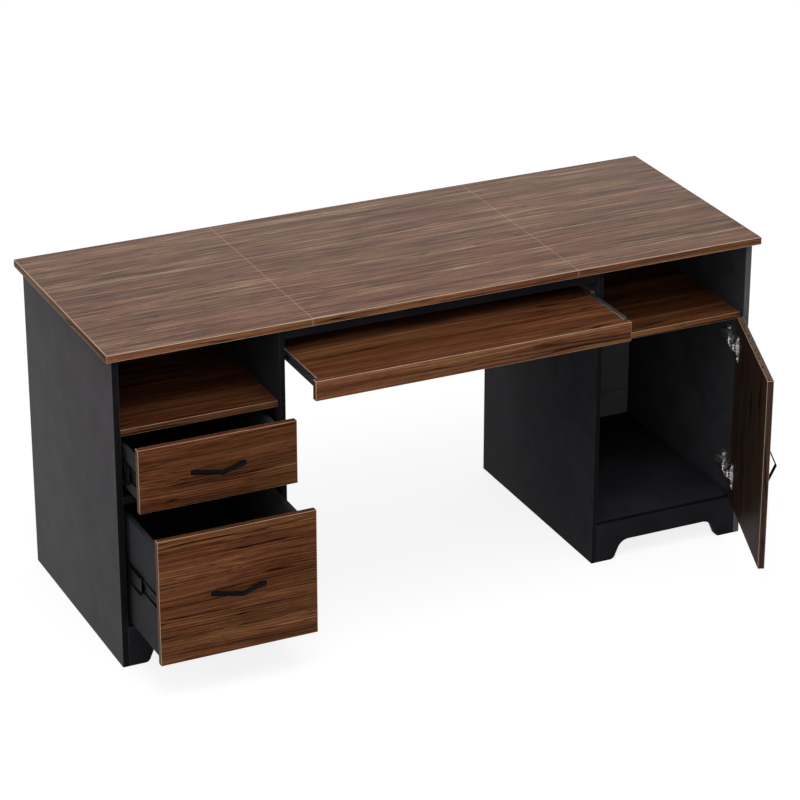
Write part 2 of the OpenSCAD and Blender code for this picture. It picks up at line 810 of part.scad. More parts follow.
module hinge_arms() color(zinc) at_hinges() {
    for (z = [-arm_half_h - arm_steel, arm_half_h]) translate([0, 0, z]) arm_cheek();
    board([arm_web_x, spine_y0, -arm_half_h - arm_steel],
          [arm_web_x + arm_steel, spine_y1, arm_half_h + arm_steel]);
    translate([outer_in_x - guide_out, front_y + guide_back, -arm_half_h - arm_steel - guide_end])
        cylinder(d = guide_d, h = 2 * (arm_half_h + arm_steel + guide_end));
}

top_left_panel();
top_middle_panel();
top_right_panel();
left_outer_side();
left_inner_side();
left_back_panel();
left_rear_rail();
left_niche_shelf();
left_drawer_rail();
left_floor_panel();
left_front_apron();
right_outer_side();
right_inner_side();
right_back_panel();
right_rear_rail();
right_niche_shelf();
right_floor_panel();
right_front_apron();
knee_front_rail();
modesty_panel();
upper_drawer_front();
upper_drawer_left_side();
upper_drawer_right_side();
upper_drawer_back();
upper_drawer_bottom();
upper_drawer_pull();
upper_pull_screws();
file_drawer_front();
file_drawer_left_side();
file_drawer_right_side();
file_drawer_back();
file_drawer_bottom();
file_drawer_pull();
file_pull_screws();
upper_slide_cabinet_members();
upper_slide_middle_members();
upper_slide_drawer_members();
file_slide_cabinet_members();
file_slide_middle_members();
file_slide_drawer_members();
tray_board();
tray_front_strip();
tray_slide_cabinet_members();
tray_slide_shelf_members();
door_panel();
door_pull();
door_pull_screws();
hinge_cups();
hinge_cup_screws();
hinge_links();
hinge_arms();
hinge_mounting_plates();
hinge_plate_screws();
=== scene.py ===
"""Two-pedestal office desk: finishes, small fittings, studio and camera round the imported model.

Every board, slide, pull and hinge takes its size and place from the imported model. The boards are
drawn again with broken arrises and edge bands, the screws with their cross recesses, and each
surface gets the finish of its real stuff. Lengths are in metres unless a name ends in _mm.
"""

import json
import logging
import math
from dataclasses import astuple, dataclass
from enum import Enum, IntEnum
from typing import Any, Callable

import bmesh
import bpy
from mathutils import Matrix, Vector


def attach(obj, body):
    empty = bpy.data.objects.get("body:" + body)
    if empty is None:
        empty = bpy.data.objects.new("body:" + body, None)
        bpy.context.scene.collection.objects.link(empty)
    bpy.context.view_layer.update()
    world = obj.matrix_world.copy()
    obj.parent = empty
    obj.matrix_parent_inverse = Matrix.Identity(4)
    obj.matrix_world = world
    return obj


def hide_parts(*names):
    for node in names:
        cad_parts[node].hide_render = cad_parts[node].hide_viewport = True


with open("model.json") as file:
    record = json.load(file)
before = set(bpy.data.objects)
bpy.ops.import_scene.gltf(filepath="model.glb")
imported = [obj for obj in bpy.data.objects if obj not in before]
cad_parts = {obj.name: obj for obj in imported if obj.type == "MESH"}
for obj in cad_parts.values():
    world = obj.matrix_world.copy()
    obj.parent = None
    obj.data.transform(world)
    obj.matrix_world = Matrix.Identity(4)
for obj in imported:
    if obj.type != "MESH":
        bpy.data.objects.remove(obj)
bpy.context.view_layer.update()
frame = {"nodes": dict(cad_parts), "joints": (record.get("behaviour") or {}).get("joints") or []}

Tree = bpy.types.NodeTree
Socket = bpy.types.NodeSocket
Piece = bpy.types.Object
Finish = bpy.types.Material
Edge = bmesh.types.BMEdge
# A screw head's middle, the way it faces and its width.
Head = tuple[Vector, Vector, float]

MM = 0.001
LOG = logging.getLogger("desk")

# Nearly all values of a noise lie between these two.
NOISE_LOW, NOISE_HIGH = 0.3, 0.7
# Corners nearer than this are one corner, and faces less turned than this are one face.
WELD_MM = 0.004
FLAT_DEG = 0.3
# Points nearer to a plane than this lie in it: a board's outer plane, and a screw head's top.
NEAR_MM = 0.01
TOP_NEAR_MM = 0.005
# Edges sharper than these are broken, on boards and on fittings.
BOARD_SHARP_DEG = 50.0
FITTING_SHARP_DEG = 40.0
# A fitting's edge is eased where it is longer than this many widths of the ease.
EASED_WIDTHS = 4
# Edges shallower than these are shaded smooth, on most pieces and on screws.
SMOOTH_DEG = 32.0
SCREW_SMOOTH_DEG = 28.0


class Slot(Enum):
    """The record's material slots."""

    WORKTOP = "worktop_walnut"
    FRONT = "front_walnut"
    CARCASS = "black_board"
    DRAWER = "drawer_board"
    PULL = "black_metal"
    STEEL = "zinc_steel"
    DARK_STEEL = "dark_steel"


class Grain(Enum):
    """Which way the grain of a board runs, as the turn in degrees that lays it along x."""

    ALONG = (0.0, 0.0, 0.0)
    TO_BACK = (0.0, 0.0, -90.0)
    UPRIGHT = (0.0, 90.0, 0.0)

    @property
    def turn(self) -> tuple[float, ...]:
        """The turn in radians."""
        return tuple(math.radians(angle) for angle in self.value)


def linear(hex_colour: str) -> tuple[float, float, float, float]:
    """Turns an sRGB hex colour into the linear one that a shader takes.

    Args:
        hex_colour: The colour as six hex digits after a hash.

    Returns:
        Linear red, green and blue, and an alpha of 1.
    """
    parts = [int(hex_colour[i:i + 2], 16) / 255 for i in (1, 3, 5)]
    made = [c / 12.92 if c <= 0.04045 else ((c + 0.055) / 1.055) ** 2.4 for c in parts]
    return (*made, 1.0)


def add_node(tree: Tree, kind: str, settings: dict[Any, Any] | None = None,
             links: dict[Any, Socket] | None = None) -> bpy.types.Node:
    """Adds a node to a tree with its settings and links.

    Args:
        tree: The tree that takes the node.
        kind: The node's type name.
        settings: Values by the name of an input or a property; "stops" fills a colour ramp.
        links: The sockets that feed the node, by the name or number of its inputs.

    Returns:
        The new node.
    """
    node = tree.nodes.new(kind)
    for name, value in (settings or {}).items():
        if name == "stops":
            elements = node.color_ramp.elements
            while len(elements) < len(value):
                elements.new(1.0)
            for element, (place, colour) in zip(elements, value):
                element.position = place
                element.color = colour
        elif isinstance(name, int) or name in node.inputs:
            node.inputs[name].default_value = value
        else:
            setattr(node, name, value)
    for name, socket in (links or {}).items():
        tree.links.new(socket, node.inputs[name])
    return node


def new_material(name: str) -> tuple[Finish, Tree]:
    """Makes an empty node material.

    Args:
        name: The material's name.

    Returns:
        The material and its node tree.
    """
    material = bpy.data.materials.new(name)
    material.use_nodes = True
    material.node_tree.nodes.clear()
    return material, material.node_tree


def close_material(tree: Tree, settings: dict[Any, Any], links: dict[Any, Socket]) -> None:
    """Ends a material with its surface shader and output.

    Args:
        tree: The material's tree.
        settings: The surface shader's fixed values.
        links: The sockets that feed it.
    """
    shader = add_node(tree, "ShaderNodeBsdfPrincipled", settings, links)
    add_node(tree, "ShaderNodeOutputMaterial", links={"Surface": shader.outputs["BSDF"]})


def per_mm(x: float, y: float, z: float) -> tuple[float, float, float]:
    """Scale that makes one cell of a pattern x by y by z millimetres big."""
    return (1 / (x * MM), 1 / (y * MM), 1 / (z * MM))


@dataclass(frozen=True)
class WalnutTone:
    """The printed colours of a walnut decor, from its darkest line to its palest."""

    line: str
    dark: str
    middle: str
    light: str
    pale: str


TOP_WALNUT = WalnutTone("#290904", "#4F2D18", "#6C4731", "#826049", "#A88D77")
FRONT_WALNUT = WalnutTone("#200F07", "#452614", "#5D3823", "#774D32", "#A27A59")
EDGE_WALNUT = WalnutTone("#2E1B10", "#523321", "#6E4831", "#885F43", "#A68066")
SHADED_WALNUT = WalnutTone("#120D0A", "#221914", "#2F231D", "#3D2E25", "#544438")
DOOR_EDGE_PAINTED_SHEEN_WALNUT = WalnutTone("#2A211C", "#47392F", "#5E4D42", "#726053", "#988378")
DOOR_END_WALNUT = WalnutTone("#1B1410", "#2C211C", "#392C26", "#473830", "#5F4D44")
SHELF_EDGE_PAINTED_LIGHT_WALNUT = WalnutTone("#332014", "#5C3B25", "#7A4F34", "#936540", "#B48A68")
END_EDGE_PAINTED_SHADE_WALNUT = WalnutTone("#24150D", "#412919", "#573A28", "#6C4B35", "#8A6A55")

# The figure's noise spreads this far at a contrast of 1, and the five tones stand this many
# spreads from its middle.
FIGURE_SPREAD = 0.17
TONE_PLACES = (-1.35, -0.7, 0.0, 0.7, 1.5)
# Faint casts of red and green that drift over the printed paper.
BLUSH_STOPS = ((0.36, "#FFF5F4"), (0.64, "#FBFFF3"))
# What a pore leaves of the colour round it.
PORE_SHADE = "#A39890"


@dataclass(frozen=True)
class WalnutLaminate:
    """Melamine-faced particleboard with a printed walnut decor, pressed between satin plates.

    The decor gives long straight streaks with a slight sway, broad bands of tone and short dark
    pores. The satin resin veils it with the room's light at a low angle.
    """

    name: str
    tone: WalnutTone
    grain: Grain = Grain.ALONG
    shift_mm: tuple[float, float, float] = (0.0, 0.0, 0.0)
    streak_mm: tuple[float, float] = (480.0, 5.0)
    band_mm: tuple[float, float] = (900.0, 34.0)
    line_mm: tuple[float, float] = (520.0, 14.0)
    blush_mm: tuple[float, float] = (520.0, 46.0)
    sway_mm: float = 9.0
    contrast: float = 1.1
    band_share: float = 0.38
    ring: str = "#7A6657"
    pale_line_mm: float | None = None
    roughness: float = 0.42
    ior: float = 1.1
    sway_cell_mm: tuple[float, float] = (420.0, 140.0)
    pore_mm: tuple[float, float] = (46.0, 1.3)

    def material(self) -> Finish:
        """Builds the material."""
        material, tree = new_material(self.name)
        place = add_node(tree, "ShaderNodeTexCoord").outputs["Object"]
        laid = add_node(
            tree, "ShaderNodeMapping",
            {"Rotation": self.grain.turn, "Location": [s * MM for s in self.shift_mm]},
            {"Vector": place})
        swayed = self._sway(tree, laid.outputs["Vector"])
        streaks = self._noise(tree, swayed, self.streak_mm, detail=5.0, roughness=0.6)
        bands = self._noise(tree, swayed, self.band_mm, detail=2.0, roughness=0.5)
        figure = add_node(
            tree, "ShaderNodeMath", {"operation": "MULTIPLY_ADD", 1: 1 - self.band_share},
            {0: streaks})
        banded = add_node(
            tree, "ShaderNodeMath", {"operation": "MULTIPLY", 1: self.band_share}, {0: bands})
        tree.links.new(banded.outputs[0], figure.inputs[2])
        spread = FIGURE_SPREAD / self.contrast
        stops = [(0.5 + at * spread, linear(shade))
                 for at, shade in zip(TONE_PLACES, astuple(self.tone))]
        colour = add_node(tree, "ShaderNodeValToRGB", {"stops": stops}, {0: figure.outputs[0]})
        blush = self._noise(tree, swayed, self.blush_mm, detail=1.0, roughness=0.5)
        hue = add_node(
            tree, "ShaderNodeValToRGB",
            {"stops": [(at, linear(shade)) for at, shade in BLUSH_STOPS]}, {0: blush})
        tinted = add_node(
            tree, "ShaderNodeMix", {"data_type": "RGBA", "blend_type": "MULTIPLY", "Factor": 1.0},
            {"A": colour.outputs["Color"], "B": hue.outputs["Color"]})
        pores = self._pores(tree, swayed)
        pored = add_node(
            tree, "ShaderNodeMix",
            {"data_type": "RGBA", "blend_type": "MULTIPLY", "B": linear(PORE_SHADE)},
            {"Factor": pores, "A": tinted.outputs["Result"]})
        lined = add_node(
            tree, "ShaderNodeMix",
            {"data_type": "RGBA", "blend_type": "MULTIPLY", "B": linear(self.ring)},
            {"Factor": self._lines(tree, swayed), "A": pored.outputs["Result"]})
        shown = lined.outputs["Result"]
        if self.pale_line_mm is not None:
            shown = self._pale_line(tree, place, streaks, shown)
        bump = add_node(
            tree, "ShaderNodeBump", {"Strength": 0.25, "Distance": 0.15 * MM, "invert": True},
            {"Height": pores})
        gloss = add_node(
            tree, "ShaderNodeMapRange",
            {"From Min": NOISE_LOW, "From Max": NOISE_HIGH, "To Min": self.roughness - 0.04,
             "To Max": self.roughness + 0.06}, {"Value": streaks})
        close_material(
            tree, {"IOR": self.ior},
            {"Base Color": shown, "Roughness": gloss.outputs["Result"],
             "Normal": bump.outputs["Normal"]})
        return material

    @staticmethod
    def _noise(tree: Tree, place: Socket, cell_mm: tuple[float, float], detail: float,
               roughness: float) -> Socket:
        """Adds a noise drawn out along the grain.

        Args:
            tree: The material's tree.
            place: The laid coordinates.
            cell_mm: The pattern's length along the grain and its width across it.
            detail: The noise's detail.
            roughness: The noise's roughness.

        Returns:
            The noise's value.
        """
        long, wide = cell_mm
        scaled = add_node(
            tree, "ShaderNodeMapping", {"Scale": per_mm(long, wide, wide)}, {"Vector": place})
        noise = add_node(
            tree, "ShaderNodeTexNoise", {"Scale": 1.0, "Detail": detail, "Roughness": roughness},
            {"Vector": scaled.outputs["Vector"]})
        return noise.outputs["Fac"]

    def _sway(self, tree: Tree, place: Socket) -> Socket:
        """Bends the coordinates slowly across the grain, as a trunk grows.

        Args:
            tree: The material's tree.
            place: The laid coordinates.

        Returns:
            The bent coordinates.
        """
        long, wide = self.sway_cell_mm
        scaled = add_node(
            tree, "ShaderNodeMapping", {"Scale": per_mm(long, wide, wide)}, {"Vector": place})
        noise = add_node(
            tree, "ShaderNodeTexNoise", {"Scale": 1.0, "Detail": 1.0},
            {"Vector": scaled.outputs["Vector"]})
        reach = self.sway_mm * MM * 2
        bend = add_node(
            tree, "ShaderNodeVectorMath",
            {"operation": "MULTIPLY_ADD", 1: (0.0, reach, reach),
             2: (0.0, -reach / 2, -reach / 2)},
            {0: noise.outputs["Color"]})
        moved = add_node(
            tree, "ShaderNodeVectorMath", {"operation": "ADD"},
            {0: place, 1: bend.outputs["Vector"]})
        return moved.outputs["Vector"]

    def _pores(self, tree: Tree, place: Socket) -> Socket:
        """Adds short dark pores, drawn about twice as wide as real ones so that they show.

        Args:
            tree: The material's tree.
            place: The laid coordinates.

        Returns:
            1 in a pore and 0 elsewhere.
        """
        noise = self._noise(tree, place, self.pore_mm, detail=1.0, roughness=0.5)
        pores = add_node(
            tree, "ShaderNodeMapRange", {"From Min": 0.6, "From Max": 0.68}, {"Value": noise})
        return pores.outputs["Result"]

    def _lines(self, tree: Tree, place: Socket) -> Socket:
        """Adds the thin dark lines between growth rings, where a smooth noise crosses its middle.

        Args:
            tree: The material's tree.
            place: The laid coordinates.

        Returns:
            1 on a line and 0 elsewhere, weaker in some stretches.
        """
        rings = self._noise(tree, place, self.line_mm, detail=1.0, roughness=0.3)
        off = add_node(tree, "ShaderNodeMath", {"operation": "SUBTRACT", 1: 0.5}, {0: rings})
        far = add_node(tree, "ShaderNodeMath", {"operation": "ABSOLUTE"}, {0: off.outputs[0]})
        line = add_node(
            tree, "ShaderNodeMapRange",
            {"From Min": 0.012, "From Max": 0.04, "To Min": 1.0, "To Max": 0.0},
            {"Value": far.outputs[0]})
        length, width = self.line_mm
        weight = self._noise(tree, place, (length, 2 * width), detail=0.0, roughness=0.5)
        kept = add_node(
            tree, "ShaderNodeMapRange", {"From Min": 0.4, "From Max": 0.58}, {"Value": weight})
        share = add_node(
            tree, "ShaderNodeMath", {"operation": "MULTIPLY"},
            {0: line.outputs["Result"], 1: kept.outputs["Result"]})
        return share.outputs[0]

    def _pale_line(self, tree: Tree, place: Socket, streaks: Socket, colour: Socket) -> Socket:
        """Lays the decor's one pale heart line along the desk.

        Args:
            tree: The material's tree.
            place: The object's own coordinates.
            streaks: The streaks, which break the line up.
            colour: The decor so far.

        Returns:
            The decor with its line.
        """
        apart = add_node(tree, "ShaderNodeSeparateXYZ", links={0: place})
        off = add_node(
            tree, "ShaderNodeMath", {"operation": "SUBTRACT", 1: self.pale_line_mm * MM},
            {0: apart.outputs["Y"]})
        far = add_node(tree, "ShaderNodeMath", {"operation": "ABSOLUTE"}, {0: off.outputs[0]})
        line = add_node(
            tree, "ShaderNodeMapRange",
            {"From Min": 1.0 * MM, "From Max": 2.6 * MM, "To Min": 1.0, "To Max": 0.0},
            {"Value": far.outputs[0]})
        kept = add_node(
            tree, "ShaderNodeMapRange",
            {"From Min": 0.3, "From Max": 0.6, "To Min": 0.25, "To Max": 0.75}, {"Value": streaks})
        share = add_node(
            tree, "ShaderNodeMath", {"operation": "MULTIPLY"},
            {0: line.outputs["Result"], 1: kept.outputs["Result"]})
        drawn = add_node(
            tree, "ShaderNodeMix", {"data_type": "RGBA", "B": linear(self.tone.pale)},
            {"Factor": share.outputs[0], "A": colour})
        return drawn.outputs["Result"]


@dataclass(frozen=True)
class PlainLaminate:
    """Melamine-faced board in one colour, pressed with a fine pearl grain: matt, a bit clouded."""

    name: str
    colour: str
    cloud: str
    roughness: float = 0.5
    ior: float = 1.06
    pearl_mm: float = 0.9
    cloud_mm: float = 70.0

    def material(self) -> Finish:
        """Builds the material."""
        material, tree = new_material(self.name)
        place = add_node(tree, "ShaderNodeTexCoord").outputs["Object"]
        clouds = add_node(
            tree, "ShaderNodeTexNoise", {"Scale": 1 / (self.cloud_mm * MM), "Detail": 3.0},
            {"Vector": place})
        pearl = add_node(
            tree, "ShaderNodeTexNoise", {"Scale": 1 / (self.pearl_mm * MM), "Detail": 2.0},
            {"Vector": place})
        colour = add_node(
            tree, "ShaderNodeValToRGB",
            {"stops": [(0.35, linear(self.colour)), (0.7, linear(self.cloud))]},
            {0: clouds.outputs["Fac"]})
        gloss = add_node(
            tree, "ShaderNodeMapRange",
            {"From Min": NOISE_LOW, "From Max": NOISE_HIGH, "To Min": self.roughness - 0.05,
             "To Max": self.roughness + 0.07}, {"Value": pearl.outputs["Fac"]})
        bump = add_node(
            tree, "ShaderNodeBump", {"Strength": 0.2, "Distance": 0.05 * MM},
            {"Height": pearl.outputs["Fac"]})
        close_material(
            tree, {"IOR": self.ior},
            {"Base Color": colour.outputs["Color"], "Roughness": gloss.outputs["Result"],
             "Normal": bump.outputs["Normal"]})
        return material


@dataclass(frozen=True)
class PowderCoat:
    """Epoxy baked on steel, sprayed or dipped: near black, with a fine orange-peel skin."""

    name: str
    colour: str
    worn: str
    peel_mm: float = 1.1

    def material(self) -> Finish:
        """Builds the material."""
        material, tree = new_material(self.name)
        place = add_node(tree, "ShaderNodeTexCoord").outputs["Object"]
        peel = add_node(
            tree, "ShaderNodeTexNoise", {"Scale": 1 / (self.peel_mm * MM), "Detail": 2.0},
            {"Vector": place})
        colour = add_node(
            tree, "ShaderNodeValToRGB",
            {"stops": [(0.3, linear(self.colour)), (0.8, linear(self.worn))]},
            {0: peel.outputs["Fac"]})
        bump = add_node(
            tree, "ShaderNodeBump", {"Strength": 0.25, "Distance": 0.06 * MM},
            {"Height": peel.outputs["Fac"]})
        close_material(
            tree, {"IOR": 1.12, "Roughness": 0.46},
            {"Base Color": colour.outputs["Color"], "Normal": bump.outputs["Normal"]})
        return material


@dataclass(frozen=True)
class PlatedSteel:
    """Rolled or pressed steel with a bright plating, its reflections blurred along the roll."""

    name: str
    colour: str
    shade: str
    roughness: float
    roll: Grain = Grain.TO_BACK
    line_mm: tuple[float, float] = (24.0, 0.5)

    def material(self) -> Finish:
        """Builds the material."""
        material, tree = new_material(self.name)
        place = add_node(tree, "ShaderNodeTexCoord").outputs["Object"]
        laid = add_node(
            tree, "ShaderNodeMapping", {"Rotation": self.roll.turn}, {"Vector": place})
        long, wide = self.line_mm
        drawn = add_node(
            tree, "ShaderNodeMapping", {"Scale": per_mm(long, wide, wide)},
            {"Vector": laid.outputs["Vector"]})
        lines = add_node(
            tree, "ShaderNodeTexNoise", {"Scale": 1.0, "Detail": 3.0},
            {"Vector": drawn.outputs["Vector"]})
        colour = add_node(
            tree, "ShaderNodeValToRGB",
            {"stops": [(0.3, linear(self.shade)), (0.6, linear(self.colour))]},
            {0: lines.outputs["Fac"]})
        gloss = add_node(
            tree, "ShaderNodeMapRange",
            {"From Min": NOISE_LOW, "From Max": NOISE_HIGH, "To Min": self.roughness - 0.06,
             "To Max": self.roughness + 0.1}, {"Value": lines.outputs["Fac"]})
        bump = add_node(
            tree, "ShaderNodeBump", {"Strength": 0.15, "Distance": 0.02 * MM},
            {"Height": lines.outputs["Fac"]})
        close_material(
            tree, {"Metallic": 1.0},
            {"Base Color": colour.outputs["Color"], "Roughness": gloss.outputs["Result"],
             "Normal": bump.outputs["Normal"]})
        return material


def only(piece: Piece) -> None:
    """Selects one object alone and makes it active."""
    bpy.ops.object.select_all(action="DESELECT")
    piece.select_set(True)
    bpy.context.view_layer.objects.active = piece


def node_copy(node: str) -> Piece:
    """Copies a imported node's mesh into a new piece, its loose triangles merged into whole faces.

    Args:
        node: The node's name.

    Returns:
        The new piece.
    """
    piece = bpy.data.objects.new(f"{node}_finished", frame["nodes"][node].data.copy())
    bpy.context.scene.collection.objects.link(piece)
    piece.data.materials.clear()
    only(piece)
    bpy.ops.mesh.customdata_custom_splitnormals_clear()
    bpy.ops.object.mode_set(mode="EDIT")
    bpy.ops.mesh.select_all(action="SELECT")
    bpy.ops.mesh.remove_doubles(threshold=WELD_MM * MM)
    bpy.ops.mesh.dissolve_limited(angle_limit=math.radians(FLAT_DEG))
    bpy.ops.mesh.select_all(action="DESELECT")
    bpy.ops.object.mode_set(mode="OBJECT")
    return piece


def bevel_edges(piece: Piece, chosen: Callable[[Edge], bool], width_mm: float,
                segments: int = 2, material: int = -1) -> None:
    """Bevels the edges of a piece that a test picks out.

    Args:
        piece: The piece.
        chosen: Tells of an edge whether it is bevelled.
        width_mm: The bevel's width.
        segments: In how many steps it turns.
        material: The number of its material, or -1 for that of the faces beside it.
    """
    only(piece)
    bpy.ops.object.mode_set(mode="EDIT")
    bpy.ops.mesh.select_mode(type="EDGE")
    mesh = bmesh.from_edit_mesh(piece.data)
    for edge in mesh.edges:
        edge.select_set(chosen(edge))
    bmesh.update_edit_mesh(piece.data)
    bpy.ops.mesh.bevel(
        offset=width_mm * MM, segments=segments, affect="EDGES", clamp_overlap=False,
        material=material)
    bpy.ops.mesh.select_all(action="DESELECT")
    bpy.ops.object.mode_set(mode="OBJECT")


def smooth(piece: Piece, angle_deg: float = SMOOTH_DEG) -> None:
    """Shades a piece smooth across shallow edges only."""
    only(piece)
    bpy.ops.object.shade_smooth_by_angle(angle=math.radians(angle_deg))


def hand_in(piece: Piece, body: str, node: str) -> None:
    """Lets a finished piece ride and hides what it stands for.

    Args:
        piece: The finished piece.
        body: The body that carries it.
        node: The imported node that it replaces.
    """
    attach(piece, body)
    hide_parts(node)
    LOG.info("%s rides on %s, %d faces", piece.name, body, len(piece.data.polygons))


def finish_packed(node: str, finish: Finish) -> None:
    """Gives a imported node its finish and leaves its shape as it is.

    Args:
        node: The node's name.
        finish: Its finish.
    """
    for place in frame["nodes"][node].material_slots:
        place.material = finish
    LOG.info("%s keeps its packed shape", node)


class Skin(IntEnum):
    """The numbers of a board's materials."""

    FACE = 0
    BAND = 1
    ARRIS = 2
    END_BAND = 3
    BACK = 4


class Cut(Enum):
    """Which edges of a board get a broken arris."""

    OUTLINE = 1
    ALL_SHARP = 2


@dataclass
class Board:
    """A laminated board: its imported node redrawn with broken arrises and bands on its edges.

    Its edges stay sharp at the front or back when it butts there: butted is -1 or 1.
    """

    node: str
    body: str
    slot: Slot
    face: Finish
    band: Finish
    arris: Finish
    arris_mm: float = 0.8
    turn_deg: float = 0.0
    cut: Cut = Cut.OUTLINE
    end_band: Finish | None = None
    back: Finish | None = None
    butted: int = 0
    square: float = 0.9995

    def build(self) -> None:
        """Redraws the board and hands it in."""
        piece = node_copy(self.node)
        for material in (self.face, self.band, self.arris, self.end_band or self.band,
                         self.back or self.face):
            piece.data.materials.append(material)
        own = Matrix.Rotation(math.radians(-self.turn_deg), 3, "Z")
        points = [own @ v.co for v in piece.data.vertices]
        low = Vector(min(p[i] for p in points) for i in range(3))
        high = Vector(max(p[i] for p in points) for i in range(3))
        size = high - low
        thin = min(range(3), key=lambda i: size[i])
        for polygon in piece.data.polygons:
            polygon.material_index = self._skin(own @ polygon.normal, thin)
        self._break_arrises(piece, own, low, high)
        smooth(piece)
        hand_in(piece, self.body, self.node)

    def _skin(self, normal: Vector, thin: int) -> Skin:
        """Tells which finish a face takes from the way it looks.

        Args:
            normal: The face's normal, in the board's own frame.
            thin: The axis of the board's thickness.

        Returns:
            The finish. A face that leans, on a board of flat faces, belongs to an arris.
        """
        along = max(range(3), key=lambda i: abs(normal[i]))
        if abs(normal[along]) < self.square and self.cut is Cut.OUTLINE:
            return Skin.ARRIS
        if along == thin:
            return Skin.BACK if normal[along] > 0 else Skin.FACE
        return Skin.END_BAND if along == 0 else Skin.BAND

    def _break_arrises(self, piece: Piece, own: Matrix, low: Vector, high: Vector) -> None:
        """Bevels the board's sharp edges by its arris width.

        Args:
            piece: The board.
            own: The turn into the board's own frame.
            low: The board's lowest corner there.
            high: The board's highest corner there.
        """
        joint = low.y if self.butted < 0 else high.y

        def chosen(edge: Edge) -> bool:
            """Tells whether an edge gets an arris."""
            sharp = edge.is_manifold and edge.calc_face_angle() > math.radians(BOARD_SHARP_DEG)
            ends = [own @ v.co for v in edge.verts]
            if sharp and self.cut is Cut.OUTLINE:
                sharp = self._on_outline(ends, low, high)
            if sharp and self.butted:
                sharp = not all(abs(e.y - joint) < NEAR_MM * MM for e in ends)
            return sharp

        bevel_edges(piece, chosen, self.arris_mm, material=Skin.ARRIS.value)

    @staticmethod
    def _on_outline(ends: list[Vector], low: Vector, high: Vector) -> bool:
        """Tells whether an edge lies where two of the board's outer planes meet."""
        near = NEAR_MM * MM
        planes = 0
        for i in range(3):
            planes += any(all(abs(e[i] - plane[i]) < near for e in ends) for plane in (low, high))
        return planes >= 2


@dataclass
class Fitting:
    """A metal fitting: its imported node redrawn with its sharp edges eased."""

    node: str
    body: str
    slot: Slot
    finish: Finish
    ease_mm: float = 0.35

    def build(self) -> None:
        """Redraws the fitting, eases it and hands it in."""
        piece = node_copy(self.node)
        piece.data.materials.append(self.finish)
        bevel_edges(piece, self._chosen, self.ease_mm)
        smooth(piece)
        hand_in(piece, self.body, self.node)

    def _chosen(self, edge: Edge) -> bool:
        """Tells whether an edge is sharp and long enough to be eased."""
        sharp = edge.is_manifold and edge.calc_face_angle() > math.radians(FITTING_SHARP_DEG)
        return sharp and edge.calc_length() > EASED_WIDTHS * self.ease_mm * MM


